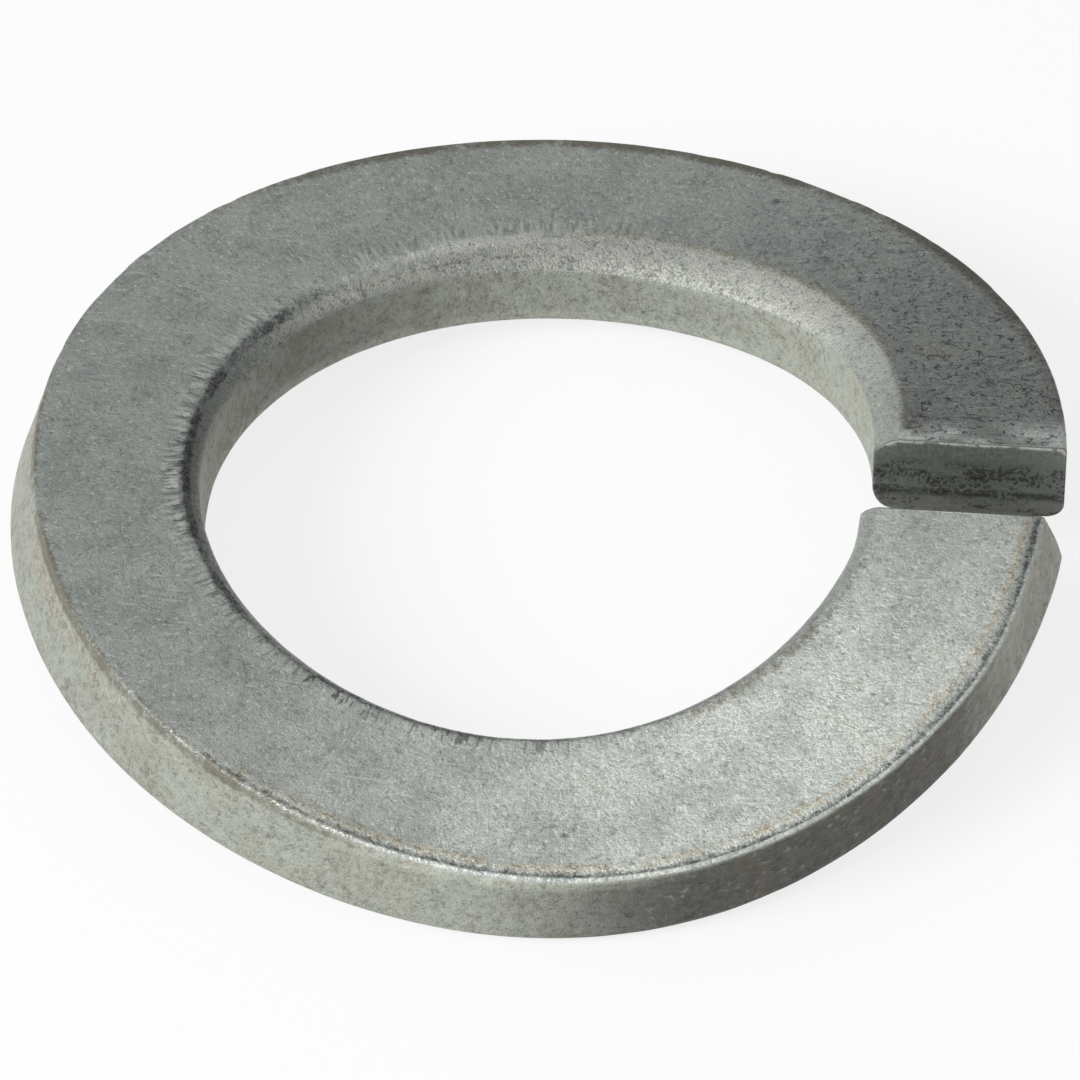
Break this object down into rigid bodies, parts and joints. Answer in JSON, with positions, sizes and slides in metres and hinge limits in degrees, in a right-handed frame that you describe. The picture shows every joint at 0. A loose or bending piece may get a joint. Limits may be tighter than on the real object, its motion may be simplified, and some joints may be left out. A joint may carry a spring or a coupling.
{
  "type": "spring lock washer",
  "caption": "Curved spring lock washer: a split ring of flat wire with a bowed, slightly rising turn, a rolled-over bore edge and sheared ends, in matt zinc-plated steel.",
  "frame": {"origin": "on the bore's axis, at the height of the washer's lowest point", "axes": "+Z along the bore's axis; +X through the middle of the gap between the ends"},
  "size_m": [0.0398, 0.0394, 0.0063],
  "materials": {
    "zinc_steel": "matt zinc-plated"
  },
  "bodies": {
    "root": {"washer": "zinc_steel"}
  },
  "joints": []
}
